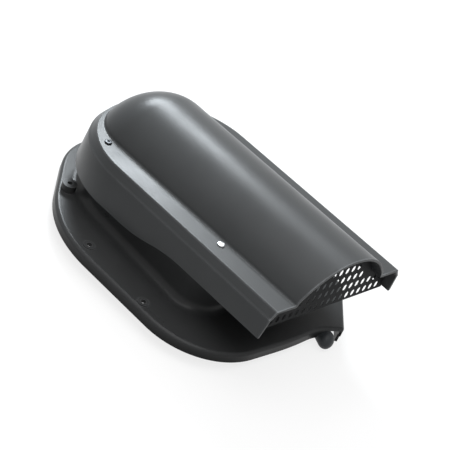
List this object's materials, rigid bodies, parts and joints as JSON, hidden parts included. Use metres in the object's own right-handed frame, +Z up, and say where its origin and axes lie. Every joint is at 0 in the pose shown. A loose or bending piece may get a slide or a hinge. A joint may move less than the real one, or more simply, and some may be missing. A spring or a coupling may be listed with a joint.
{
  "type": "roof tile vent",
  "caption": "Pitched-roof tile vent: domed barrel hood with stepped ledge and slotted mouth grille, on a collar and a flat screw flange with a turned-down rim.",
  "frame": {"origin": "bottom centre of the bounding box, level with the spigot's foot", "axes": "+Z up off the roof sheet, +Y up the slope towards the blunt nose of the flange, -Y is the mouth, +X to the right seen from the mouth"},
  "size_m": [0.2768, 0.3548, 0.1509],
  "materials": {
    "base_plastic": "black moulded plastic, fine grain, satin sheen",
    "hood_plastic": "dark grey moulded plastic, satin sheen",
    "grille_plastic": "black moulded plastic, dull",
    "plated_steel": "bright zinc plating",
    "buffer_rubber": "mid grey rubber, dull"
  },
  "bodies": {
    "root": {"base": "base_plastic", "hood": "hood_plastic", "mouth_grille": "grille_plastic", "hood_screws": "plated_steel", "corner_buffer": "buffer_rubber"}
  },
  "joints": []
}
